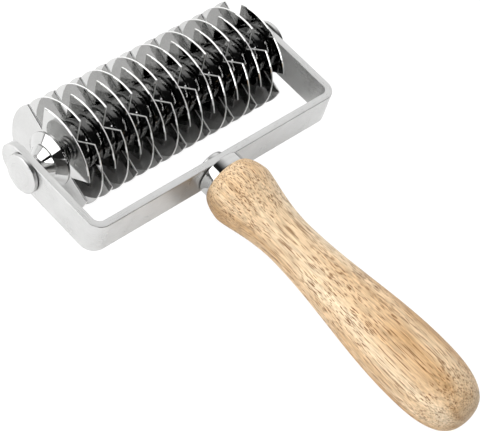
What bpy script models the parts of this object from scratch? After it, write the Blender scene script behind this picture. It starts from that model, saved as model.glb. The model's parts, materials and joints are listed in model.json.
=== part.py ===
# Lattice cutter for pastry: a yoke on a wooden handle, and a roller of notched discs that turns on its axle.
# The tool is modelled with its axle along X through the origin and its handle towards -Y.
# An empty then lays it on a table, resting on its discs and on the belly of its handle.

import math

import bmesh
import bpy
from mathutils import Matrix

mm = 0.001

# Clearances
running_gap = 0.30 * mm  # round the axle, where the roller turns
slip_gap = 0.30 * mm  # between pieces that slide or screw together
face_gap = 0.30 * mm  # between faces that meet along an axis

# Axle and the core that turns on it
axle_radius = 3.0 * mm
axle_head_radius = 8.2 * mm
axle_head_rim = 1.7 * mm  # straight part of the head's edge
axle_head_dome = 1.0 * mm
axle_cap_seat = 1.5 * mm  # length of axle held inside the end cap
core_wall = 2.0 * mm  # from the bore to a flat of the core

# Discs and the rings between them
disc_count = 17
disc_radius = 22.5 * mm
disc_thickness = 0.8 * mm
disc_pitch = 6.5 * mm
notch_count = 3
notch_half_angle = math.radians(13.1)  # half of the opening at the rim
notch_turn = math.radians(54.0)  # first notch, from +Y towards +Z
spacer_wall = 4.0 * mm  # outside the core's corners
notch_land = 2.1 * mm  # from a ring's edge to the point of a notch

# Stepped cones at the ends of the roller
cone_length = 7.7 * mm
cone_base_overhang = 0.8 * mm  # past the rings' radius
cone_rim = 0.5 * mm
cone_shoulder_length = 3.0 * mm
cone_shoulder_radius = 7.7 * mm
cone_step = 0.6 * mm
cone_nose_wall = 1.0 * mm
cone_neck_length = 1.0 * mm
washer_thickness = 0.9 * mm
washer_width = 1.6 * mm

# Yoke, one strap folded twice
strap_width = 14.7 * mm
strap_thickness = 3.1 * mm
bend_radius = 6.2 * mm  # outside
finger_gap = 14.9 * mm  # from the discs to the crossbar
arm_tip_reach = 6.1 * mm  # from the axle to the centre of the arm's round end

# Handle, its ferrule and its screw
screw_radius = 3.0 * mm
screw_head_radius = 5.8 * mm
screw_head_rim = 2.0 * mm
screw_head_dome = 1.3 * mm
screw_grip = 42.0 * mm  # length inside the wood
screw_point = 4.0 * mm
ferrule_radius = 10.3 * mm
ferrule_length = 4.2 * mm
ferrule_edge = 0.4 * mm
handle_length = 132.3 * mm
wood_overhang = 0.25 * mm  # wood past the ferrule's radius at the front
bulb_radius = 13.75 * mm
bulb_place = 9.0 * mm  # from the wood's front end
waist_radius = 9.8 * mm
waist_place = 36.0 * mm
belly_radius = 14.8 * mm
belly_place = 103.0 * mm

# Roundness
arc_steps = 16  # along each of a disc's arcs
ring_steps = 24
handle_steps = 28
handle_stations = 8  # along each stretch of the handle
bend_steps = 5

# Sizes that follow from those above
core_sides = 2 * notch_count  # half a sector's turn lays the core's sides on each other
core_flat = axle_radius + running_gap + core_wall
core_hole_flat = core_flat + slip_gap
spacer_radius = core_hole_flat / math.cos(math.pi / core_sides) + spacer_wall
notch_root_radius = spacer_radius + notch_land
spacer_length = disc_pitch - disc_thickness - 2 * face_gap
stack_half = (disc_pitch * (disc_count - 1) + disc_thickness) / 2
cone_base_place = stack_half + face_gap
washer_place = cone_base_place + cone_length + face_gap
arm_inner_place = washer_place + washer_thickness + face_gap
arm_outer_place = arm_inner_place + strap_thickness
bar_inner_place = disc_radius + finger_gap
bar_outer_place = bar_inner_place + strap_thickness
ferrule_place = bar_outer_place + face_gap
wood_place = ferrule_place + ferrule_length + face_gap

steel_bright = (0.72, 0.72, 0.71)
steel_satin = (0.60, 0.60, 0.59)
steel_dark = (0.42, 0.42, 0.42)
wood_pale = (0.72, 0.47, 0.25)


def clear_scene():
    for thing in list(bpy.data.objects):
        bpy.data.objects.remove(thing)


def make_collection(name):
    made = bpy.data.collections.new(name)
    bpy.context.scene.collection.children.link(made)
    return made


def make_material(name, colour, roughness, metallic):
    made = bpy.data.materials.new(name)
    made.use_nodes = True
    shader = made.node_tree.nodes["Principled BSDF"]
    shader.inputs["Base Color"].default_value = (*colour, 1.0)
    shader.inputs["Roughness"].default_value = roughness
    shader.inputs["Metallic"].default_value = metallic
    return made


def make_empty(name, parent=None):
    made = bpy.data.objects.new(name, None)
    parts.objects.link(made)
    made.parent = parent
    return made


def add_piece(name, mesh, material, parent, place):
    """An object of this mesh, put at a place given from its parent."""
    made = bpy.data.objects.new(name, mesh)
    parts.objects.link(made)
    made.parent = parent
    made.matrix_basis = place
    if not mesh.materials:
        mesh.materials.append(material)
    return made


def along_x(x, facing=1, turn=0.0):
    """Turns a piece's own Z to +X or -X, then turns it about X and slides it to x."""
    face = Matrix.Rotation(facing * math.pi / 2, 4, "Y")
    return Matrix.Translation((x, 0, 0)) @ Matrix.Rotation(turn, 4, "X") @ face


def along_y(y):
    """Turns a piece's own Z to +Y and slides it to y."""
    return Matrix.Translation((0, y, 0)) @ Matrix.Rotation(-math.pi / 2, 4, "X")


def settled_mesh(name, thing):
    """The finished mesh of a curve or of an object with modifiers, welded and shaded."""
    parts.objects.link(thing)
    graph = bpy.context.evaluated_depsgraph_get()
    mesh = bpy.data.meshes.new_from_object(thing.evaluated_get(graph))
    bpy.data.objects.remove(thing)
    mesh.name = name
    shape = bmesh.new()
    shape.from_mesh(mesh)
    bmesh.ops.remove_doubles(shape, verts=shape.verts, dist=1e-6)
    bmesh.ops.recalc_face_normals(shape, faces=shape.faces)
    shape.to_mesh(mesh)
    shape.free()
    mesh.shade_smooth()
    mesh.set_sharp_from_angle(angle=math.radians(32))
    return mesh


def turned_mesh(name, profile, steps, closed=False):
    """A profile of (radius, height) points, outer side from top to bottom, turned about Z."""
    points = [(radius, 0, height) for radius, height in profile]
    edges = [(i, i + 1) for i in range(len(points) - 1)]
    if closed:
        edges.append((len(points) - 1, 0))
    outline = bpy.data.meshes.new(name + "_profile")
    outline.from_pydata(points, edges, [])
    thing = bpy.data.objects.new(name + "_turned", outline)
    screw = thing.modifiers.new("turn", "SCREW")
    screw.steps = steps
    screw.render_steps = steps
    screw.use_merge_vertices = True
    screw.merge_threshold = 1e-6
    return settled_mesh(name, thing)


def plate_mesh(name, outlines, thickness):
    """A flat plate about its own middle, cut out along closed outlines: the first outside, the rest holes."""
    flat = bpy.data.curves.new(name + "_outline", "CURVE")
    flat.dimensions = "2D"
    flat.fill_mode = "BOTH"
    flat.extrude = thickness / 2
    for outline in outlines:
        spline = flat.splines.new("POLY")
        spline.points.add(len(outline) - 1)
        for point, (x, y) in zip(spline.points, outline):
            point.co = (x, y, 0, 1)
        spline.use_cyclic_u = True
    return settled_mesh(name, bpy.data.objects.new(name + "_plate", flat))


def polar(radius, angle):
    """A point in a plate laid along X: the angle runs from +Y towards +Z."""
    return (-radius * math.sin(angle), radius * math.cos(angle))


def ring_outline(radius, steps):
    return [polar(radius, 2 * math.pi * i / steps) for i in range(steps)]


def core_outline(flat):
    """The many-sided section of the core, or of a hole for it, from its distance to a flat."""
    return ring_outline(flat / math.cos(math.pi / core_sides), core_sides)


def disc_outline():
    """Equal arcs of the rim, with a straight-sided notch after each."""
    points = []
    sector = 2 * math.pi / notch_count
    for i in range(notch_count):
        notch = notch_turn + i * sector
        points.append(polar(notch_root_radius, notch))
        start = notch + notch_half_angle
        sweep = sector - 2 * notch_half_angle
        points += [polar(disc_radius, start + sweep * j / arc_steps) for j in range(arc_steps + 1)]
    return points


def rounded_step(outer, inner, steps, power):
    """From (0, inner) to (1, outer) along a quarter of a superellipse, as (share of length, radius)."""
    points = []
    for i in range(steps + 1):
        angle = math.pi / 2 * i / steps
        share = 1 - math.cos(angle) ** (2 / power)
        points.append((share, inner + (outer - inner) * math.sin(angle) ** (2 / power)))
    return points


def eased(share):
    return share * share * (3 - 2 * share)


def handle_outline():
    """(distance from the wood's front, radius): shoulder, bulb to waist, waist to belly, round butt."""
    front = ferrule_radius + wood_overhang
    steps = handle_stations
    points = [(bulb_place * s, r) for s, r in rounded_step(bulb_radius, front, steps - 3, 1.6)]
    for i in range(1, steps + 1):
        share = i / steps
        place = bulb_place + (waist_place - bulb_place) * share
        points.append((place, bulb_radius + (waist_radius - bulb_radius) * eased(share**0.7)))
    for i in range(1, steps + 1):
        share = i / steps
        place = waist_place + (belly_place - waist_place) * share
        points.append((place, waist_radius + (belly_radius - waist_radius) * eased(share)))
    butt_length = handle_length - belly_place
    butt = rounded_step(belly_radius, 0, steps, 2.8)
    points += [(handle_length - butt_length * s, r) for s, r in reversed(butt[:-1])]
    return points


def rest_tilt():
    """The angle at which the belly of the handle and the discs reach the table together."""
    low, high = math.radians(-30), math.radians(30)
    for _ in range(60):
        middle = (low + high) / 2
        drop = max(
            (wood_place + u) * math.sin(middle) + r * math.cos(middle) for u, r in handle_outline()
        )
        if drop < disc_radius:
            low = middle
        else:
            high = middle
    return low


def rest_shift(tilt):
    """How far the axle stands in front of the middle of the tool's length."""
    rear = max((wood_place + u) * math.cos(tilt) + r * math.sin(tilt) for u, r in handle_outline())
    return (rear - disc_radius) / 2


def domed_head(radius, rim, dome, steps):
    """Profile of a head from its middle to its underside edge, with its underside at height 0."""
    points = []
    for i in range(steps + 1):
        angle = math.pi / 2 * i / steps
        points.append((radius * math.sin(angle) ** 0.8, rim + dome * math.cos(angle)))
    points.append((radius, 0.0))
    return points


def make_axle():
    """The axle, headed at its left end. Its own Z points left, and height 0 is under the head."""
    length = 2 * arm_outer_place + 2 * face_gap + axle_cap_seat
    head = domed_head(axle_head_radius, axle_head_rim, axle_head_dome, 6)
    profile = head + [(axle_radius, 0), (axle_radius, -length), (0, -length)]
    mesh = turned_mesh("axle", profile, ring_steps)
    add_piece("axle", mesh, satin_steel, tool, along_x(-arm_outer_place - face_gap, -1))


def make_axle_end_cap():
    """A head like the axle's own, with a blind hole for the end of the axle."""
    hole = axle_radius + slip_gap
    depth = axle_cap_seat + slip_gap
    head = domed_head(axle_head_radius, axle_head_rim, axle_head_dome, 6)
    profile = head + [(hole, 0), (hole, depth), (0, depth)]
    mesh = turned_mesh("axle_end_cap", profile, ring_steps)
    add_piece("axle_end_cap", mesh, satin_steel, tool, along_x(arm_outer_place + face_gap))


def make_washers():
    hole = axle_radius + running_gap
    outer = hole + washer_width
    half = washer_thickness / 2
    profile = [(outer, half), (outer, -half), (hole, -half), (hole, half)]
    mesh = turned_mesh("thrust_washer", profile, ring_steps, closed=True)
    for side, name in ((-1, "left_thrust_washer"), (1, "right_thrust_washer")):
        add_piece(name, mesh, satin_steel, tool, along_x(side * (washer_place + half)))


def make_hub_core():
    """The flat-sided tube that the discs and rings are threaded on, with a round bore for the axle."""
    bore = ring_outline(axle_radius + running_gap, ring_steps)
    mesh = plate_mesh("hub_core", [core_outline(core_flat), bore], 2 * stack_half)
    add_piece("hub_core", mesh, dark_steel, roller, along_x(0))


def make_discs():
    """Each disc is turned half a sector from the one before, which its flat-sided hole allows."""
    mesh = plate_mesh("disc", [disc_outline(), core_outline(core_hole_flat)], disc_thickness)
    for i in range(disc_count):
        x = disc_pitch * (i - (disc_count - 1) / 2)
        turn = math.pi / notch_count * (i % 2)
        add_piece(f"disc_{i + 1:02d}", mesh, bright_steel, roller, along_x(x, turn=turn))


def make_spacers():
    outlines = [ring_outline(spacer_radius, ring_steps), core_outline(core_hole_flat)]
    mesh = plate_mesh("spacer", outlines, spacer_length)
    for i in range(disc_count - 1):
        x = disc_pitch * (i + 1 - disc_count / 2)
        add_piece(f"spacer_{i + 1:02d}", mesh, dark_steel, roller, along_x(x))


def make_end_cones():
    """A rim against the last disc, a steep shoulder, a small step and a longer nose round the axle."""
    hole = axle_radius + running_gap
    base = spacer_radius + cone_base_overhang
    nose = hole + cone_nose_wall
    profile = [
        (nose, cone_length),
        (nose, cone_length - cone_neck_length),
        (cone_shoulder_radius - cone_step, cone_shoulder_length + cone_step / 2),
        (cone_shoulder_radius, cone_shoulder_length),
        (base, cone_rim),
        (base, 0),
        (hole, 0),
        (hole, cone_length),
    ]
    mesh = turned_mesh("end_cone", profile, ring_steps, closed=True)
    for side, name in ((-1, "left_end_cone"), (1, "right_end_cone")):
        add_piece(name, mesh, bright_steel, roller, along_x(side * cone_base_place, side))


def fold(u):
    """Where the flat strap's length u, from its middle, lies on the outside of the folded yoke."""
    side = 1 if u > 0 else -1
    u = abs(u)
    bar_half = arm_outer_place - bend_radius
    quarter = bend_radius * math.pi / 2
    if u <= bar_half:
        return side * u, -bar_outer_place
    if u <= bar_half + quarter:
        angle = (u - bar_half) / bend_radius
        return (
            side * (bar_half + bend_radius * math.sin(angle)),
            -bar_outer_place + bend_radius * (1 - math.cos(angle)),
        )
    return side * arm_outer_place, -bar_outer_place + bend_radius + u - bar_half - quarter


def strap_outline(end, steps):
    """A long strap with round ends whose centres are at -end and end."""
    half = strap_width / 2
    points = []
    for side in (1, -1):
        for i in range(steps + 1):
            angle = math.pi * (i / steps - 0.5)
            points.append((side * (end + half * math.cos(angle)), side * half * math.sin(angle)))
    return points


def make_yoke():
    """A flat blank with its three holes, creased where it bends, folded to a U and given its thickness."""
    bar_half = arm_outer_place - bend_radius
    quarter = bend_radius * math.pi / 2
    arm_start = bar_half + quarter
    axle_u = arm_start + bar_outer_place - bend_radius
    blank = bmesh.new()
    axle_hole = axle_radius + slip_gap
    screw_hole = screw_radius + slip_gap
    outlines = [(0, strap_outline(axle_u + arm_tip_reach, ring_steps // 2))]
    outlines += [(u, ring_outline(axle_hole, ring_steps)) for u in (-axle_u, axle_u)]
    outlines.append((0, ring_outline(screw_hole, ring_steps)))
    for shift, outline in outlines:
        verts = [blank.verts.new((shift + x, y, 0)) for x, y in outline]
        for i, vert in enumerate(verts):
            blank.edges.new((vert, verts[(i + 1) % len(verts)]))
    bmesh.ops.triangle_fill(blank, use_beauty=True, edges=blank.edges)
    creases = [bar_half + quarter * i / bend_steps for i in range(bend_steps + 1)]
    creases += [-crease for crease in creases]
    for crease in creases:
        everything = blank.verts[:] + blank.edges[:] + blank.faces[:]
        place = (crease, 0, 0)
        bmesh.ops.bisect_plane(blank, geom=everything, plane_co=place, plane_no=(1, 0, 0), dist=1e-7)
    for vert in blank.verts:
        x, y = fold(vert.co.x)
        vert.co = (x, y, vert.co.y)
    bmesh.ops.recalc_face_normals(blank, faces=blank.faces)
    bar_face = min(blank.faces, key=lambda face: face.calc_center_median().y)
    if bar_face.normal.y > 0:
        bmesh.ops.reverse_faces(blank, faces=blank.faces)
    folded = bpy.data.meshes.new("yoke_sheet")
    blank.to_mesh(folded)
    blank.free()
    sheet = bpy.data.objects.new("yoke_sheet", folded)
    wall = sheet.modifiers.new("thickness", "SOLIDIFY")
    wall.thickness = strap_thickness
    wall.offset = -1
    wall.use_even_offset = True
    add_piece("yoke", settled_mesh("yoke", sheet), satin_steel, tool, Matrix.Identity(4))


def make_handle_screw():
    """Headed inside the yoke. Its own Z points forwards, and height 0 is under the head."""
    grip = bar_outer_place - bar_inner_place + face_gap + (wood_place - bar_outer_place) + screw_grip
    head = domed_head(screw_head_radius, screw_head_rim, screw_head_dome, 6)
    profile = head + [
        (screw_radius, 0),
        (screw_radius, screw_point - grip),
        (screw_radius / 3, -grip),
        (0, -grip),
    ]
    mesh = turned_mesh("handle_screw", profile, ring_steps)
    add_piece("handle_screw", mesh, satin_steel, tool, along_y(-bar_inner_place + face_gap))


def make_ferrule():
    hole = screw_radius + slip_gap
    profile = [
        (ferrule_radius - ferrule_edge, 0),
        (ferrule_radius, -ferrule_edge),
        (ferrule_radius, ferrule_edge - ferrule_length),
        (ferrule_radius - ferrule_edge, -ferrule_length),
        (hole, -ferrule_length),
        (hole, 0),
    ]
    mesh = turned_mesh("ferrule", profile, ring_steps, closed=True)
    add_piece("ferrule", mesh, bright_steel, tool, along_y(-ferrule_place))


def make_handle():
    hole = screw_radius + slip_gap
    depth = screw_grip + slip_gap
    profile = [(0, -depth), (hole, -depth), (hole, 0)]
    profile += [(radius, -place) for place, radius in handle_outline()]
    mesh = turned_mesh("handle", profile, handle_steps)
    add_piece("handle", mesh, pale_wood, tool, along_y(-wood_place))


clear_scene()
parts = make_collection("pastry_cutter_wheel")
bright_steel = make_material("bright_steel", steel_bright, 0.08, 1.0)
satin_steel = make_material("satin_steel", steel_satin, 0.32, 1.0)
dark_steel = make_material("dark_steel", steel_dark, 0.2, 1.0)
pale_wood = make_material("pale_wood", wood_pale, 0.5, 0.0)

tool = make_empty("tool_at_rest")
tilt = rest_tilt()
tool.matrix_basis = Matrix.Translation((0, rest_shift(tilt), disc_radius)) @ Matrix.Rotation(tilt, 4, "X")
roller = make_empty("roller_axis", tool)

make_yoke()
make_axle()
make_axle_end_cap()
make_washers()
make_hub_core()
make_discs()
make_spacers()
make_end_cones()
make_handle_screw()
make_ferrule()
make_handle()
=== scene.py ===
import json
import math

import bmesh
import bpy
import numpy as np
from mathutils import Matrix, Vector


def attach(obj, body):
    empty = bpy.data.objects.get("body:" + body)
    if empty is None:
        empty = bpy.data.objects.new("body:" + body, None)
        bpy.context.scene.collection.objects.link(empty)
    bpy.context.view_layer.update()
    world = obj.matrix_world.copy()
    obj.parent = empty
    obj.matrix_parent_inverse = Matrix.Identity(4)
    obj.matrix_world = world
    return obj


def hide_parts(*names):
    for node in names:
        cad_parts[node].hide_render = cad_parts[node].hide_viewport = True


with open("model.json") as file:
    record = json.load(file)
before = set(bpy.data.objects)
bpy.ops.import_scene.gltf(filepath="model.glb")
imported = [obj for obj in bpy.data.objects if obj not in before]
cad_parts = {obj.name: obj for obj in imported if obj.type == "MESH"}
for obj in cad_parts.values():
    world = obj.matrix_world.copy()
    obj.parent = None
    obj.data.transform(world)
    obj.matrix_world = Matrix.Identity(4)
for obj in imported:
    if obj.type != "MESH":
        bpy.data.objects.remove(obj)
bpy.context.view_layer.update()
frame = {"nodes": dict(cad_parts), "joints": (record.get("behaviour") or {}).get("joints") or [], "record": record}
mm = 0.001
rimTrim = 0.035 * mm  # keeps the round rims of the discs inside the box of the faceted CAD discs
noiseRange = (0.3, 0.7)  # where most of a noise's values lie

# The tool's own frame: its axle along X through the origin and its handle towards -Y.
# On the table it is tilted about X, so that the belly of the handle and the discs rest together.
axleCentre = np.array(frame["joints"][0]["pos_m"])
edgeAxis = frame["record"]["mounts"][0]["axis"]
tilt = math.atan2(-edgeAxis[1], edgeAxis[2])
turnToTable = np.array(Matrix.Rotation(tilt, 3, "X"))
discRadius = axleCentre[2] - rimTrim


def toTable(points):
    # from the tool's own frame to its place on the table
    return points @ turnToTable.T + axleCentre


def toolBox(node):
    # lowest and highest corner of a CAD node in the tool's own frame
    mesh = frame["nodes"][node].data
    points = np.empty(len(mesh.vertices) * 3, np.float32)
    mesh.vertices.foreach_get("co", points)
    points = (points.reshape(-1, 3) - axleCentre) @ turnToTable
    return points.min(axis=0), points.max(axis=0)


meshCare = {
    "mergeDistance": 2e-7,  # closes poles and flattened ends
    "degenerateDistance": 1e-7,
    "sharpAngle": 35.0,
}


def buildPiece(name, rows, material, body, stands, loop=False, sharp=meshCare["sharpAngle"],
               grain=None, groundAndHighlight=None):
    # rows is a grid of points (row, column, xyz): columns close round, and rows close too if loop is set;
    # grain holds the coordinates that the finish follows, and groundAndHighlight how rough each face is as a
    # ground edge and how pale it is with a painted highlight
    rowCount, columnCount = rows.shape[:2]
    i = np.arange(rowCount if loop else rowCount - 1)[:, None]
    j = np.arange(columnCount)[None, :]
    nextRow, nextColumn = (i + 1) % rowCount, (j + 1) % columnCount
    corners = [i * columnCount + j, i * columnCount + nextColumn,
               nextRow * columnCount + nextColumn, nextRow * columnCount + j]
    quads = np.stack(np.broadcast_arrays(*corners), axis=-1).reshape(-1, 4)
    points = toTable(rows.reshape(-1, 3))
    a, b, c, d = (points[quads[:, k]] - points.mean(axis=0) for k in range(4))
    volume = np.einsum("ij,ij->i", a, np.cross(b, c) + np.cross(c, d)).sum()
    if volume < 0:
        quads = quads[:, ::-1]
    mesh = bpy.data.meshes.new(name)
    mesh.from_pydata(points.tolist(), [], quads.tolist())
    space = mesh.attributes.new("grainSpace", "FLOAT_VECTOR", "POINT")
    space.data.foreach_set("vector", (rows if grain is None else grain).astype(np.float32).ravel())
    if groundAndHighlight is not None:
        mark = mesh.attributes.new("groundEdgeAndHighlight", "FLOAT", "FACE")
        mark.data.foreach_set("value", groundAndHighlight.astype(np.float32).ravel())
    shape = bmesh.new()
    shape.from_mesh(mesh)
    bmesh.ops.remove_doubles(shape, verts=shape.verts, dist=meshCare["mergeDistance"])
    bmesh.ops.dissolve_degenerate(shape, edges=shape.edges, dist=meshCare["degenerateDistance"])
    shape.to_mesh(mesh)
    shape.free()
    mesh.shade_smooth()
    mesh.set_sharp_from_angle(angle=math.radians(sharp))
    mesh.materials.append(material)
    piece = bpy.data.objects.new(name, mesh)
    bpy.context.scene.collection.objects.link(piece)
    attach(piece, body)
    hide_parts(*stands)


def rounded(corners, steps=6, guard=0.25 * mm):
    # corners are (along, across, radius): each radius becomes an arc that touches both sides,
    # with a guard point on either side of it that keeps the flats next to it flat
    corners = [np.array(corner, float) for corner in corners]
    points = []
    for k, corner in enumerate(corners):
        spot, radius = corner[:2], corner[2]
        if radius <= 0 or k in (0, len(corners) - 1):
            points.append(spot)
            continue
        before, after = corners[k - 1][:2] - spot, corners[k + 1][:2] - spot
        room = min(np.linalg.norm(before), np.linalg.norm(after))
        before, after = before / np.linalg.norm(before), after / np.linalg.norm(after)
        half = math.acos(np.clip(before @ after, -1, 1)) / 2
        reach = radius / math.tan(half)
        middle = spot + (before + after) / np.linalg.norm(before + after) * radius / math.sin(half)
        first, last = spot + before * reach - middle, spot + after * reach - middle
        sweep = math.pi - 2 * half
        if room > 2 * (reach + guard):
            points.append(spot + before * (reach + guard))
        for share in np.linspace(0, 1, steps + 1):
            points.append(middle + (first * math.sin((1 - share) * sweep)
                                    + last * math.sin(share * sweep)) / math.sin(sweep))
        if room > 2 * (reach + guard):
            points.append(spot + after * (reach + guard))
    return np.array(points)


def turned(profile, axis, steps):
    # a profile of (along, radius) carried round the X or Y axis
    angle = np.linspace(0, 2 * math.pi, steps, endpoint=False)
    along = np.repeat(profile[:, :1], steps, axis=1)
    across = profile[:, 1:] * np.cos(angle)
    up = profile[:, 1:] * np.sin(angle)
    return np.stack([along, across, up] if axis == "X" else [across, along, up], axis=-1)


def turnedPiece(name, profile, axis, steps, material, body, stands, loop=False):
    # the finish of a turned piece changes along it and with its radius, not round it
    marks = np.column_stack([np.zeros(len(profile)), profile])
    marks = np.repeat(marks[:, None, :], steps, axis=1)
    rows = turned(profile, axis, steps)
    buildPiece(name, rows, material, body, stands, loop=loop, grain=marks)


steelFinish = {
    "polished": {"colour": (0.55, 0.55, 0.545), "roughness": (0.03, 0.07), "tone": 0.03,
                 "grain": 1500.0, "bump": 0.008},
    "satin": {"colour": (0.58, 0.58, 0.575), "roughness": (0.24, 0.36), "tone": 0.05,
              "grain": 3200.0, "bump": 0.12},
    # the rings between the discs and the hub core: darker than the polished steel, painted shade between the discs
    "core": {"colour": (0.36, 0.36, 0.36), "roughness": (0.05, 0.11), "tone": 0.02,
             "grain": 1500.0, "bump": 0.012},
    "toneStops": (0.35, 0.65),  # where the grain is darkest and palest
    "patches": 90.0,  # smudges per metre
    "bumpDepth": 0.03 * mm,
    "stretch": 0.12,  # grain along the strap against across it
    # disc edges: rougher for the ground finish, and near white and half metallic for a painted highlight along the
    # rims
    "edgeHighlightColour": (0.93, 0.93, 0.92),  # painted highlight on the ground edges of the discs, near white
    "edgeRoughness": 0.5,
    "edgeMetallic": 0.5,
}
woodFinish = {
    "light": (0.72, 0.57, 0.39),
    "middle": (0.65, 0.47, 0.29),
    "dark": (0.50, 0.31, 0.15),
    "pore": (0.15, 0.058, 0.012),
    "roughness": (0.42, 0.60),
    "shine": 0.3,
    "bands": (85.0, 9.0, 85.0),  # per metre: across, along and through the handle
    "bandSeed": 3.9,
    "fibres": (1800.0, 85.0, 1800.0),
    "clusters": (320.0, 40.0, 320.0),  # where pores crowd
    "pores": (  # cells per metre; what a cell needs to hold a pore; the pore's half width in its cell
        {"cells": (2700.0, 62.0, 2700.0), "threshold": 1.23, "width": 0.42},  # long
        {"cells": (3100.0, 180.0, 3100.0), "threshold": 1.28, "width": 0.42},  # short
    ),
    "poreEdge": 0.9,  # where in its width a pore starts to fade
    "tones": (0.35, 0.50, 0.66),  # where the bands are dark, middle and light
    "fibreRange": (0.32, 0.68),
    "fibreTone": (0.58, 1.24),  # how much a fibre darkens or lightens the wood
    "bump": 0.25,
    "bumpDepth": 0.2 * mm,
}


def newNode(tree, kind, values=None, **settings):
    node = tree.nodes.new(kind)
    for key, value in settings.items():
        setattr(node, key, value)
    for key, value in (values or {}).items():
        node.inputs[key].default_value = value
    return node


def newGroup(name, inputs, outputs):
    group = bpy.data.node_groups.new(name, "ShaderNodeTree")
    for label, kind in inputs.items():
        group.interface.new_socket(name=label, in_out="INPUT", socket_type=kind)
    for label, kind in outputs.items():
        group.interface.new_socket(name=label, in_out="OUTPUT", socket_type=kind)
    return group, newNode(group, "NodeGroupInput"), newNode(group, "NodeGroupOutput")


def steelGrainGroup():
    # fine grain drawn out along the first coordinate, and faint smudges many grains wide
    floatSocket = "NodeSocketFloat"
    group, given, result = newGroup(
        "steelGrain", {"Vector": "NodeSocketVector", "Grain": floatSocket, "Patches": floatSocket},
        {"Grain": floatSocket, "Patches": floatSocket})
    drawn = newNode(group, "ShaderNodeMapping", {"Scale": (steelFinish["stretch"], 1, 1)})
    grain = newNode(group, "ShaderNodeTexNoise", {"Detail": 3.0, "Roughness": 0.6})
    patches = newNode(group, "ShaderNodeTexNoise", {"Detail": 2.0, "Roughness": 0.5})
    group.links.new(given.outputs["Vector"], drawn.inputs["Vector"])
    group.links.new(drawn.outputs[0], grain.inputs["Vector"])
    group.links.new(given.outputs["Vector"], patches.inputs["Vector"])
    group.links.new(given.outputs["Grain"], grain.inputs["Scale"])
    group.links.new(given.outputs["Patches"], patches.inputs["Scale"])
    group.links.new(grain.outputs[0], result.inputs["Grain"])
    group.links.new(patches.outputs[0], result.inputs["Patches"])
    return group


def newMaterial(name, colour, roughness, metallic):
    material = bpy.data.materials.new(name)
    material.use_nodes = True
    shader = material.node_tree.nodes["Principled BSDF"]
    shader.inputs["Base Color"].default_value = (*colour, 1)
    shader.inputs["Roughness"].default_value = roughness
    shader.inputs["Metallic"].default_value = metallic
    return material, material.node_tree, shader


def steelMaterial(name, finish, grainGroup, fromAttribute=True, edges=False):
    # tone and roughness follow the grain and the smudges; where marked, edges are rougher as ground steel and
    # paler with a painted highlight
    low, high = finish["roughness"]
    material, tree, shader = newMaterial(name, finish["colour"], low, 1.0)
    link = tree.links.new
    if fromAttribute:
        space = newNode(tree, "ShaderNodeAttribute", attribute_name="grainSpace").outputs["Vector"]
    else:
        space = newNode(tree, "ShaderNodeTexCoord").outputs["Object"]
    grain = newNode(tree, "ShaderNodeGroup", node_tree=grainGroup)
    grain.inputs["Grain"].default_value = finish["grain"]
    grain.inputs["Patches"].default_value = steelFinish["patches"]
    link(space, grain.inputs["Vector"])
    mixed = newNode(tree, "ShaderNodeMath", {1: 0.5}, operation="MULTIPLY_ADD")
    halfPatches = newNode(tree, "ShaderNodeMath", {1: 0.5}, operation="MULTIPLY")
    link(grain.outputs["Patches"], halfPatches.inputs[0])
    link(grain.outputs["Grain"], mixed.inputs[0])
    link(halfPatches.outputs[0], mixed.inputs[2])
    rough = newNode(tree, "ShaderNodeMapRange", {1: noiseRange[0], 2: noiseRange[1], 3: low, 4: high})
    link(mixed.outputs[0], rough.inputs[0])
    tone = newNode(tree, "ShaderNodeValToRGB")
    for stop, place, change in zip(tone.color_ramp.elements, steelFinish["toneStops"], (-1, 1)):
        stop.position = place
        stop.color = (*(c + change * finish["tone"] for c in finish["colour"]), 1)
    link(mixed.outputs[0], tone.inputs[0])
    roughOut, toneOut = rough.outputs[0], tone.outputs[0]
    if edges:
        mark = newNode(tree, "ShaderNodeAttribute", attribute_name="groundEdgeAndHighlight")
        edgeRough = newNode(tree, "ShaderNodeMix", {"B": steelFinish["edgeRoughness"]}, data_type="FLOAT")
        edgeMetal = newNode(tree, "ShaderNodeMix", {"A": 1.0, "B": steelFinish["edgeMetallic"]},
                            data_type="FLOAT")
        # painted highlight: the marked edges are mixed towards the near-white edge colour
        edgeHighlightTone = newNode(tree, "ShaderNodeMix", data_type="RGBA")
        edgeHighlightTone.inputs[7].default_value = (*steelFinish["edgeHighlightColour"], 1)
        for mix in (edgeRough, edgeMetal, edgeHighlightTone):
            link(mark.outputs["Fac"], mix.inputs[0])
        link(roughOut, edgeRough.inputs[2])
        link(toneOut, edgeHighlightTone.inputs[6])
        link(edgeMetal.outputs[0], shader.inputs["Metallic"])
        roughOut, toneOut = edgeRough.outputs[0], edgeHighlightTone.outputs[2]
    bump = newNode(tree, "ShaderNodeBump", {"Strength": finish["bump"], "Distance": steelFinish["bumpDepth"]})
    link(grain.outputs["Grain"], bump.inputs["Height"])
    link(roughOut, shader.inputs["Roughness"])
    link(toneOut, shader.inputs["Base Color"])
    link(bump.outputs[0], shader.inputs["Normal"])
    return material


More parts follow.
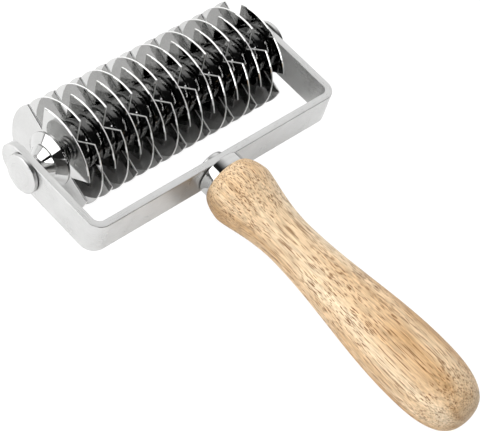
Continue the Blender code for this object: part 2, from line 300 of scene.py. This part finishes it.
def woodMaterial():
    # bands of paler and darker wood, fine fibres, and dark pores drawn out along the handle:
    # a pore is what lies close to the centre of a long cell, in some of the cells only
    finish = woodFinish
    low, high = finish["roughness"]
    material, tree, shader = newMaterial("paleWood", finish["middle"], low, 0.0)
    link = tree.links.new
    space = newNode(tree, "ShaderNodeAttribute", attribute_name="grainSpace").outputs["Vector"]

    def scaled(scale, kind, values, **settings):
        mapping = newNode(tree, "ShaderNodeMapping", {"Scale": scale})
        texture = newNode(tree, kind, {"Scale": 1.0, **values}, **settings)
        link(space, mapping.inputs["Vector"])
        link(mapping.outputs[0], texture.inputs["Vector"])
        return texture

    bands = scaled(finish["bands"], "ShaderNodeTexNoise",
                   {"W": finish["bandSeed"], "Detail": 3.0, "Roughness": 0.55, "Distortion": 0.6},
                   noise_dimensions="4D")
    fibres = scaled(finish["fibres"], "ShaderNodeTexNoise", {"Detail": 3.0, "Roughness": 0.7})
    ramp = newNode(tree, "ShaderNodeValToRGB")
    stops = ramp.color_ramp.elements
    stops.new(finish["tones"][1])
    for stop, place, tone in zip(stops, finish["tones"], ("dark", "middle", "light")):
        stop.position, stop.color = place, (*finish[tone], 1)
    link(bands.outputs[0], ramp.inputs[0])
    (start, end), (weak, strong) = finish["fibreRange"], finish["fibreTone"]
    streak = newNode(tree, "ShaderNodeMapRange", {1: start, 2: end, 3: weak, 4: strong})
    link(fibres.outputs[0], streak.inputs[0])
    fibred = newNode(tree, "ShaderNodeVectorMath", operation="SCALE")
    link(ramp.outputs[0], fibred.inputs[0])
    link(streak.outputs[0], fibred.inputs["Scale"])
    clusters = scaled(finish["clusters"], "ShaderNodeTexNoise", {"Detail": 2.0, "Roughness": 0.6})
    colour, heights = fibred.outputs[0], None
    for pore in finish["pores"]:
        cells = scaled(pore["cells"], "ShaderNodeTexVoronoi", {"Randomness": 1.0})
        fade = pore["width"] * finish["poreEdge"], pore["width"]
        near = newNode(tree, "ShaderNodeMapRange", {1: fade[0], 2: fade[1], 3: 1.0, 4: 0.0})
        crowded = newNode(tree, "ShaderNodeMath", operation="ADD")
        picked = newNode(tree, "ShaderNodeMath", {1: pore["threshold"]}, operation="GREATER_THAN")
        pores = newNode(tree, "ShaderNodeMath", operation="MULTIPLY")
        single = newNode(tree, "ShaderNodeSeparateXYZ")
        link(cells.outputs["Distance"], near.inputs[0])
        link(cells.outputs["Color"], single.inputs[0])
        link(single.outputs[0], crowded.inputs[0])
        link(clusters.outputs[0], crowded.inputs[1])
        link(crowded.outputs[0], picked.inputs[0])
        link(near.outputs[0], pores.inputs[0])
        link(picked.outputs[0], pores.inputs[1])
        darker = newNode(tree, "ShaderNodeMix", data_type="RGBA")
        darker.inputs[7].default_value = (*finish["pore"], 1)
        link(pores.outputs[0], darker.inputs[0])
        link(colour, darker.inputs[6])
        colour = darker.outputs[2]
        if heights is None:
            heights = pores.outputs[0]
        else:
            both = newNode(tree, "ShaderNodeMath", operation="MAXIMUM")
            link(heights, both.inputs[0])
            link(pores.outputs[0], both.inputs[1])
            heights = both.outputs[0]
    rough = newNode(tree, "ShaderNodeMapRange", {1: noiseRange[0], 2: noiseRange[1], 3: low, 4: high})
    link(fibres.outputs[0], rough.inputs[0])
    bump = newNode(tree, "ShaderNodeBump", {"Strength": finish["bump"], "Distance": finish["bumpDepth"]},
                   invert=True)
    link(heights, bump.inputs["Height"])
    link(colour, shader.inputs["Base Color"])
    link(rough.outputs[0], shader.inputs["Roughness"])
    link(bump.outputs[0], shader.inputs["Normal"])
    shader.inputs["Specular IOR Level"].default_value = finish["shine"]
    return material


steelGrain = steelGrainGroup()
polished = steelMaterial("polishedSteel", steelFinish["polished"], steelGrain)
discSteel = steelMaterial("discSteel", steelFinish["polished"], steelGrain, edges=True)
satin = steelMaterial("satinSteel", steelFinish["satin"], steelGrain)
# darker steel with painted shade, for the rings between the discs
shadedCoreSteel = steelMaterial("shadedCoreSteel", steelFinish["core"], steelGrain, fromAttribute=False)
wood = woodMaterial()
print("materials: 5")

discCount = sum(name.startswith("disc_") for name in frame["nodes"])
discShape = {
    "rimArcs": 3,
    "arcPoints": 40,  # along each arc of the rim
    "sidePoints": 4,  # along each side of a notch
    "notchAngle": 54.0,  # first notch of the odd discs, from +Y towards +Z
    "notchHalfAngle": 13.1,
    "notchRoot": 12.57 * mm,  # radius of the notch's point
    "innerRadius": 8.5 * mm,  # hidden under the rings
    "chamfer": 0.17 * mm,
    "notchHighlightShare": 0.7,  # share of the rim's painted highlight on the notch sides, which are painted darker than the rim
    "alternateTurn": 60.0,  # of every second disc
    "sharpestInset": 0.35,  # keeps the inset of a sharp corner short
    "arcTolerance": 0.2 * mm,  # a rim face whose middle lies further in belongs to a notch
}


def discOutline(turn):
    # points (Y, Z) round the rim: equal arcs, each followed by a V whose point lies nearer the axle
    sector = 360 / discShape["rimArcs"]
    half = discShape["notchHalfAngle"]
    arc = np.radians(np.linspace(half, sector - half, discShape["arcPoints"]))
    arcPoints = discRadius * np.stack([np.cos(arc), np.sin(arc)], axis=1)
    root = discShape["notchRoot"] * np.array([[1.0, 0.0]])
    share = np.linspace(0, 1, discShape["sidePoints"] + 1)[:-1, None]
    opening = root + (arcPoints[:1] - root) * share
    closing = (opening * (1, -1))[:0:-1]
    bay = np.concatenate([opening, arcPoints])

    def spun(points, degrees):
        c, s = math.cos(math.radians(degrees)), math.sin(math.radians(degrees))
        return points @ np.array([[c, s], [-s, c]])

    outline = []
    for k in range(discShape["rimArcs"]):
        angle = discShape["notchAngle"] + turn + k * sector
        outline += [spun(bay, angle), spun(closing, angle + sector)]
    return np.concatenate(outline)


def inset(outline, depth):
    # every point moved inwards, square to both of its sides
    before, after = outline - np.roll(outline, 1, axis=0), np.roll(outline, -1, axis=0) - outline
    before /= np.linalg.norm(before, axis=1, keepdims=True)
    after /= np.linalg.norm(after, axis=1, keepdims=True)
    left = np.stack([-before[:, 1], before[:, 0]], 1), np.stack([-after[:, 1], after[:, 0]], 1)
    middle = left[0] + left[1]
    middle /= np.linalg.norm(middle, axis=1, keepdims=True)
    spread = np.sum(middle * left[0], axis=1, keepdims=True)
    spread = np.maximum(spread, discShape["sharpestInset"])
    return outline + middle * depth / spread


for number in range(1, discCount + 1):
    node = f"disc_{number:02d}"
    low, high = toolBox(node)
    outline = discOutline(0.0 if number % 2 else discShape["alternateTurn"])
    chamfer = discShape["chamfer"]
    inner = outline / np.linalg.norm(outline, axis=1, keepdims=True) * discShape["innerRadius"]
    cut = inset(outline, chamfer)
    section = [(low[0], inner), (low[0], cut), (low[0] + chamfer, outline),
               (high[0] - chamfer, outline), (high[0], cut), (high[0], inner)]
    rows = np.stack([np.column_stack([np.full(len(ring), x), ring]) for x, ring in section])
    middles = (outline + np.roll(outline, -1, axis=0)) / 2
    onArc = np.linalg.norm(middles, axis=1) > discRadius - discShape["arcTolerance"]
    groundAndHighlight = np.zeros(rows.shape[:2])
    groundAndHighlight[2] = np.where(onArc, 1.0, discShape["notchHighlightShare"])  # the flat of the rim: full painted highlight on the arcs, less on the notch sides
    buildPiece(f"cuttingDisc{number:02d}", rows, discSteel, "roller", [node],
               loop=True, groundAndHighlight=groundAndHighlight)
print("discs:", discCount)

spacerShape = {"crown": 0.2 * mm, "endRadius": 0.9 * mm, "bore": 6.3 * mm, "points": 31, "steps": 72}
for number in range(1, discCount):
    node = f"spacer_{number:02d}"
    left = toolBox(f"disc_{number:02d}")[1][0]
    right = toolBox(f"disc_{number + 1:02d}")[0][0]
    radius, bore = toolBox(node)[1][2], spacerShape["bore"]
    across = np.sin(np.linspace(-1, 1, spacerShape["points"]) * math.pi / 2)
    end, half = spacerShape["endRadius"], (right - left) / 2
    # the outer side is a parabola, with a quarter circle at each end
    into = np.clip(np.abs(across) * half - (half - end), 0, end)
    drop = spacerShape["crown"] * across ** 2 + end - np.sqrt(end ** 2 - into ** 2)
    profile = np.column_stack([(left + right) / 2 + half * across, radius - drop])
    profile = np.concatenate([[[left, bore]], profile, [[right, bore]]])
    turnedPiece(f"spacerRing{number:02d}", profile, "X", spacerShape["steps"], shadedCoreSteel, "roller",
                [node], loop=True)
print("spacer rings:", discCount - 1)

coneShape = {
    "rim": 0.5 * mm,
    "shoulderRadius": 7.7 * mm,
    "shoulderLength": 3.0 * mm,
    "step": 0.6 * mm,
    "noseWall": 1.0 * mm,
    "neck": 1.0 * mm,
    "bore": 3.1 * mm,
    "edge": 0.15 * mm,
    "stepEdge": 0.075 * mm,
    "neckEdge": 0.45 * mm,
    "guard": 0.1 * mm,
    "steps": 96,
}
outerDisc = {-1: "disc_01", 1: f"disc_{discCount:02d}"}
for side, cone, name in ((-1, "left_end_cone", "endConeLeft"), (1, "right_end_cone", "endConeRight")):
    outward = 0 if side < 0 else 1  # which corner of a box lies further out
    start, end = toolBox(outerDisc[side])[outward][0], toolBox(cone)[outward][0]
    base = toolBox(cone)[1][2]
    c = coneShape
    edge, step, nose = c["edge"], c["step"], c["bore"] + c["noseWall"]
    # a straight rim, a cone to the shoulder, a small step, and a longer cone to a straight nose
    profile = rounded([
        (start, c["bore"], 0),
        (start, base, edge),
        (start + side * c["rim"], base, edge),
        (start + side * c["shoulderLength"], c["shoulderRadius"], edge),
        (start + side * (c["shoulderLength"] + step / 2), c["shoulderRadius"] - step, c["stepEdge"]),
        (end - side * c["neck"], nose, c["neckEdge"]),
        (end, nose, edge),
        (end, c["bore"], 0),
    ], guard=c["guard"])
    turnedPiece(name, profile, "X", c["steps"], polished, "roller", [cone], loop=True)
print("end cones: 2")

yokeShape = {
    "bendRadius": 6.2 * mm,  # outside
    "edgeRadius": 0.25 * mm,
    "tipReach": 6.1 * mm,  # from the axle to the centre of the arm's round end
    "thickness": 3.1 * mm,
    "guard": 0.3 * mm,  # from a bend to the rows that keep the flats flat
    "flatStart": 0.4 * mm,  # from the rounded edge to the points that keep the faces flat
    "edgePoints": 6,
    "barRows": 12,
    "armRows": 8,
    "bendRows": 20,
    "tipRows": 28,
}


def strapFold(u):
    # from length u along the outside of the strap, which starts at the middle of the crossbar,
    # to (X, Y) and the inward normal: straight, a quarter circle, straight
    low, high = toolBox("yoke")
    r = yokeShape["bendRadius"]
    barHalf = high[0] - r
    quarter = r * math.pi / 2
    side, reach = np.sign(u), np.abs(u)
    angle = np.clip((reach - barHalf) / r, 0, math.pi / 2)
    x = np.minimum(reach, barHalf) + r * np.sin(angle)
    y = low[1] + r * (1 - np.cos(angle)) + np.maximum(reach - barHalf - quarter, 0)
    normal = np.stack([-side * np.sin(angle), np.cos(angle)], axis=-1)
    return np.stack([side * x, y], axis=-1), normal


def strapSurface():
    # sections of a rounded rectangle along the folded length; in the round tips each section's
    # points lie on arcs about the tip's centre, so that the edge keeps its rounding to the end
    low, high = toolBox("yoke")
    r, edge, thick = yokeShape["bendRadius"], yokeShape["edgeRadius"], yokeShape["thickness"]
    guard, flat = yokeShape["guard"], edge + yokeShape["flatStart"]
    half = high[2]
    barHalf = high[0] - r
    armStart = barHalf + r * math.pi / 2
    tipCentre = armStart - low[1] - r + yokeShape["tipReach"]
    quarter = np.linspace(0, math.pi / 2, yokeShape["edgePoints"])
    # (distance inwards from the strap's edge, depth from the outside face), over the upper edge
    over = [(half, 0.0), (flat, 0.0)]
    over += [(edge * (1 - math.sin(a)), edge * (1 - math.cos(a))) for a in quarter]
    over += [(edge * (1 - math.cos(a)), thick - edge * (1 - math.sin(a))) for a in quarter]
    over += [(flat, thick), (half, thick)]
    over = np.array(over)
    bend = np.linspace(barHalf, armStart, yokeShape["bendRows"])
    bar = np.linspace(0, barHalf, yokeShape["barRows"])[:-1]
    armRows = np.linspace(armStart, tipCentre, yokeShape["armRows"])[1:]
    straight = np.concatenate([bar, [barHalf - guard], bend, [armStart + guard], armRows])
    tip = np.linspace(0, math.pi / 2, yokeShape["tipRows"])[1:]
    sections = [(u, None) for u in straight] + [(tipCentre, a) for a in tip]
    sections = [(-u, a) for u, a in sections[:0:-1]] + sections
    rows, grain = [], []
    for u, a in sections:
        side = 1 if u >= 0 else -1
        reach = half - over[:, 0]
        if a is None:
            along, height = np.full(len(over), u), reach
        else:
            along, height = u + side * reach * math.sin(a), reach * math.cos(a)
        spot, normal = strapFold(along)
        upper = np.column_stack([spot + normal * over[:, 1:], height])
        lower = (upper * (1, 1, -1))[::-1]
        rows.append(np.concatenate([upper, lower[1:-1]]))
        unfolded = np.column_stack([along, over[:, 1], height])
        grain.append(np.concatenate([unfolded, (unfolded * (1, 1, -1))[::-1][1:-1]]))
    return np.array(rows), np.array(grain)


strapRows, strapGrain = strapSurface()
buildPiece("yokeStrap", strapRows, satin, "frame", ["yoke"], grain=strapGrain)
print("yoke strap: 1")

headShape = {
    "rim": 1.7 * mm,
    "dome": 1.0 * mm,
    "edge": 0.55 * mm,
    "shadowGap": 0.3 * mm,  # between the head and the arm
    "underEdge": 0.15 * mm,
    "crownPoints": 14,
    "axleRadius": 3.0 * mm,
    "axleTip": 0.1 * mm,  # how far the axle reaches into the gap under the cap
    "axleTipEdge": 0.1 * mm,
    "washerPlay": 0.05 * mm,
    "washerEdge": 0.12 * mm,
    "steps": 96,
    "washerSteps": 64,
}


def headProfile(start, side, radius, rim, dome, edge):
    # from under the head outwards: a short straight rim, a rounded edge and a shallow parabola to the axis
    share = np.linspace(1, 0, headShape["crownPoints"])[1:]
    shoulder = radius - edge
    crown = [(start + side * (rim + dome * (1 - s * s)), shoulder * s, 0) for s in share]
    return [(start, radius, headShape["underEdge"]), (start + side * rim, radius, edge)] + crown


axleHigh = toolBox("axle")[1]
yokeLow = toolBox("yoke")[0]
capLow, capHigh = toolBox("axle_end_cap")
h = headShape
axleRadius = h["axleRadius"]
underHead = yokeLow[0] - h["shadowGap"]
axleTip = capLow[0] - h["axleTip"]
profile = [(axleTip, 0, 0), (axleTip, axleRadius, h["axleTipEdge"]), (underHead, axleRadius, 0)]
profile += headProfile(underHead, -1, axleHigh[2], h["rim"], h["dome"], h["edge"])
turnedPiece("axleWithHead", rounded(profile), "X", h["steps"], satin, "frame", ["axle"])
profile = [(capLow[0], 0, 0)] + headProfile(capLow[0], 1, capHigh[2], h["rim"], h["dome"], h["edge"])
turnedPiece("axleEndCap", rounded(profile), "X", h["steps"], satin, "frame", ["axle_end_cap"])

for node, name in (("left_thrust_washer", "thrustWasherLeft"), ("right_thrust_washer", "thrustWasherRight")):
    low, high = toolBox(node)
    inner, outer, corner = axleRadius + h["washerPlay"], high[2], h["washerEdge"]
    profile = [(low[0], inner, 0), (low[0], outer, corner), (high[0], outer, corner), (high[0], inner, 0)]
    turnedPiece(name, rounded(profile), "X", h["washerSteps"], satin, "frame", [node],
                loop=True)
print("axle, cap and washers: 4")

screwLow, screwHigh = toolBox("handle_screw")
ferruleHigh = toolBox("ferrule")[1]
woodLow, woodHigh = toolBox("handle")

screwShape = {
    "rim": 2.0 * mm,
    "shank": 3.0 * mm,
    "edge": 0.5 * mm,
    "tipRadius": 1.0 * mm,
    "tipLength": 4.0 * mm,
    "headGap": 0.1 * mm,  # between the head and the crossbar
    "steps": 72,
}
shank, tip = screwShape["shank"], screwLow[1]
start = yokeLow[1] + yokeShape["thickness"] + screwShape["headGap"]
dome = screwHigh[1] - start - screwShape["rim"]
profile = [(tip, 0, 0), (tip, screwShape["tipRadius"], 0), (tip + screwShape["tipLength"], shank, 0),
           (start, shank, 0)]
profile += headProfile(start, 1, screwHigh[2], screwShape["rim"], dome, screwShape["edge"])
turnedPiece("handleScrew", rounded(profile), "Y", screwShape["steps"], satin, "frame", ["handle_screw"])

ferruleShape = {
    "bore": 3.2 * mm,
    "barEdge": 0.25 * mm,
    "woodEdge": 0.2 * mm,
    "woodGap": 0.02 * mm,
    "steps": 96,
}
front, back, outer = ferruleHigh[1], woodHigh[1] - ferruleShape["woodGap"], ferruleHigh[0]
bore = ferruleShape["bore"]
profile = rounded([(front, bore, 0), (front, outer, ferruleShape["barEdge"]),
                   (back, outer, ferruleShape["woodEdge"]), (back, bore, 0)])
turnedPiece("ferruleRing", profile, "Y", ferruleShape["steps"], polished, "frame", ["ferrule"],
            loop=True)

handleShape = {
    "front": 10.55 * mm,
    "bulb": (9.0 * mm, 13.75 * mm),  # place from the front end, radius
    "waist": (36.0 * mm, 9.8 * mm),
    "belly": (103.0 * mm, 14.78 * mm),
    "shoulderPower": 1.6,
    "buttPower": 2.8,
    "waistPull": 0.7,  # under 1 draws the waist towards the bulb
    "endGap": 0.08 * mm,  # keeps the butt inside the CAD box
    "points": 40,
    "steps": 144,
    "sharpAngle": 50.0,
}


def eased(share):
    # from 0 to 1 with flat ends
    return share * share * (3 - 2 * share)


def handleProfile(length):
    # quarter superellipse up to the bulb, two eased stretches to waist and belly, superellipse to the butt
    s = handleShape
    quarter = np.linspace(0, math.pi / 2, s["points"])
    t = np.linspace(0, 1, s["points"])[1:]
    (bulbAt, bulb), (waistAt, waist), (bellyAt, belly) = s["bulb"], s["waist"], s["belly"]
    p = 2 / s["shoulderPower"]
    shoulder = bulbAt * (1 - np.cos(quarter) ** p), s["front"] + (bulb - s["front"]) * np.sin(quarter) ** p
    toWaist = bulbAt + (waistAt - bulbAt) * t, bulb + (waist - bulb) * eased(t ** s["waistPull"])
    toBelly = waistAt + (bellyAt - waistAt) * t, waist + (belly - waist) * eased(t)
    p = 2 / s["buttPower"]
    back = quarter[::-1][1:]
    butt = bellyAt + (length - bellyAt) * np.cos(back) ** p, belly * np.sin(back) ** p
    return np.concatenate([np.column_stack(part) for part in (shoulder, toWaist, toBelly, butt)])


profile = handleProfile(woodHigh[1] - woodLow[1] - handleShape["endGap"])
profile[:, 0] = woodHigh[1] - profile[:, 0]
profile = np.concatenate([[[woodHigh[1], 0]], profile])
rows = turned(profile, "Y", handleShape["steps"])
buildPiece("woodenHandle", rows, wood, "frame", ["handle"], sharp=handleShape["sharpAngle"])
print("screw, ferrule and handle: 3")

# the hub core takes the darker core steel too, painted shade between the discs
frame["nodes"]["hub_core"].data.materials.clear()
frame["nodes"]["hub_core"].data.materials.append(shadedCoreSteel)
print("hub core: 1")

floorLook = {
    "halfWidth": 4.0,
    "colour": (0.93, 0.93, 0.93),
    "roughness": 0.7,
    "glow": 0.88,  # how far the floor's shadows are washed out, as on a light table
    "glowStrength": 1.1,
}
reach = floorLook["halfWidth"]
floorMesh = bpy.data.meshes.new("floor")
floorMesh.from_pydata([(-reach, -reach, 0), (reach, -reach, 0), (reach, reach, 0), (-reach, reach, 0)],
                      [], [(0, 1, 2, 3)])
floor = bpy.data.objects.new("floor", floorMesh)
paleFloor, floorTree, floorShader = newMaterial("paleFloor", floorLook["colour"], floorLook["roughness"], 0.0)
whiteGlow = newNode(floorTree, "ShaderNodeEmission", {"Strength": floorLook["glowStrength"]})
seen = newNode(floorTree, "ShaderNodeLightPath")
seenShare = newNode(floorTree, "ShaderNodeMath", {1: floorLook["glow"]}, operation="MULTIPLY")
floorMix = newNode(floorTree, "ShaderNodeMixShader")
floorTree.links.new(seen.outputs["Is Camera Ray"], seenShare.inputs[0])
floorTree.links.new(seenShare.outputs[0], floorMix.inputs[0])
floorTree.links.new(floorShader.outputs[0], floorMix.inputs[1])
floorTree.links.new(whiteGlow.outputs[0], floorMix.inputs[2])
floorTree.links.new(floorMix.outputs[0], floorTree.nodes["Material Output"].inputs["Surface"])
floorMesh.materials.append(paleFloor)
bpy.context.scene.collection.objects.link(floor)

lights = {  # upright is the way that a light's height points; mirrored lights show in the steel
    "softboxLeft": {"at": (-0.93, 0.47, 0.49), "upright": (0, 0, 1), "size": (1.0, 0.95),
                    "power": 8.6, "mirrored": True},
    "stripFront": {"at": (-0.825, -0.60, 0.40), "upright": (0, 0.575, 0.818), "size": (0.20, 0.80),
                   "power": 3.0, "mirrored": True},
    "fillAbove": {"at": (-0.12, 0.10, 1.25), "upright": (0, 1, 0), "size": (0.5, 0.5),
                  "power": 11.3, "mirrored": False},
}
for name, light in lights.items():
    lamp = bpy.data.lights.new(name, "AREA")
    lamp.shape = "RECTANGLE"
    lamp.size, lamp.size_y = light["size"]
    lamp.energy = light["power"]
    lampObject = bpy.data.objects.new(name, lamp)
    lampObject.location = light["at"]
    lampObject.visible_glossy = light["mirrored"]
    away = Vector(light["at"]).normalized()
    across = Vector(light["upright"]).cross(away).normalized()
    lampObject.rotation_euler = Matrix((across, away.cross(across), away)).transposed().to_euler()
    bpy.context.scene.collection.objects.link(lampObject)
print("lights:", len(lights))

skyDome = {
    "towards": (0.6, 0.8, 0.0),  # the side that the dome's light comes from
    "dark": 0.02,
    "bright": 1.18,
    "spread": (0.0, 0.50),  # cosine to that side where the light starts and is full
}
world = bpy.data.worlds.new("studio")
world.use_nodes = True
bpy.context.scene.world = world
direction = newNode(world.node_tree, "ShaderNodeTexCoord")
facing = newNode(world.node_tree, "ShaderNodeVectorMath", operation="DOT_PRODUCT")
facing.inputs[1].default_value = Vector(skyDome["towards"]).normalized()
rise = newNode(world.node_tree, "ShaderNodeMapRange", interpolation_type="SMOOTHSTEP")
rise.inputs["From Min"].default_value, rise.inputs["From Max"].default_value = skyDome["spread"]
rise.inputs["To Min"].default_value, rise.inputs["To Max"].default_value = skyDome["dark"], skyDome["bright"]
world.node_tree.links.new(direction.outputs["Generated"], facing.inputs[0])
world.node_tree.links.new(facing.outputs["Value"], rise.inputs["Value"])
sky = world.node_tree.nodes["Background"]
world.node_tree.links.new(rise.outputs[0], sky.inputs["Strength"])
sky.inputs["Color"].default_value = (1, 1, 1, 1)
bpy.context.scene.view_settings.view_transform = "Standard"

cameraShape = {
    "at": (-0.44473, -0.27275, 0.60082),
    "towards": (-0.01023, 0.01488, 0.0225),
    "roll": 17.046,  # degrees
    "lens": 153.53,
    "sensor": 36.0,
    "clip": (0.01, 20.0),
}
camera = bpy.data.cameras.new("camera")
camera.lens = cameraShape["lens"]
camera.sensor_width = cameraShape["sensor"]
camera.clip_start, camera.clip_end = cameraShape["clip"]
cameraObject = bpy.data.objects.new("camera", camera)
look = Vector(cameraShape["towards"]) - Vector(cameraShape["at"])
aim = look.to_track_quat("-Z", "Y").to_matrix().to_4x4()
roll = Matrix.Rotation(math.radians(cameraShape["roll"]), 4, "Z")
cameraObject.matrix_world = Matrix.Translation(cameraShape["at"]) @ aim @ roll
bpy.context.scene.collection.objects.link(cameraObject)
bpy.context.scene.camera = cameraObject
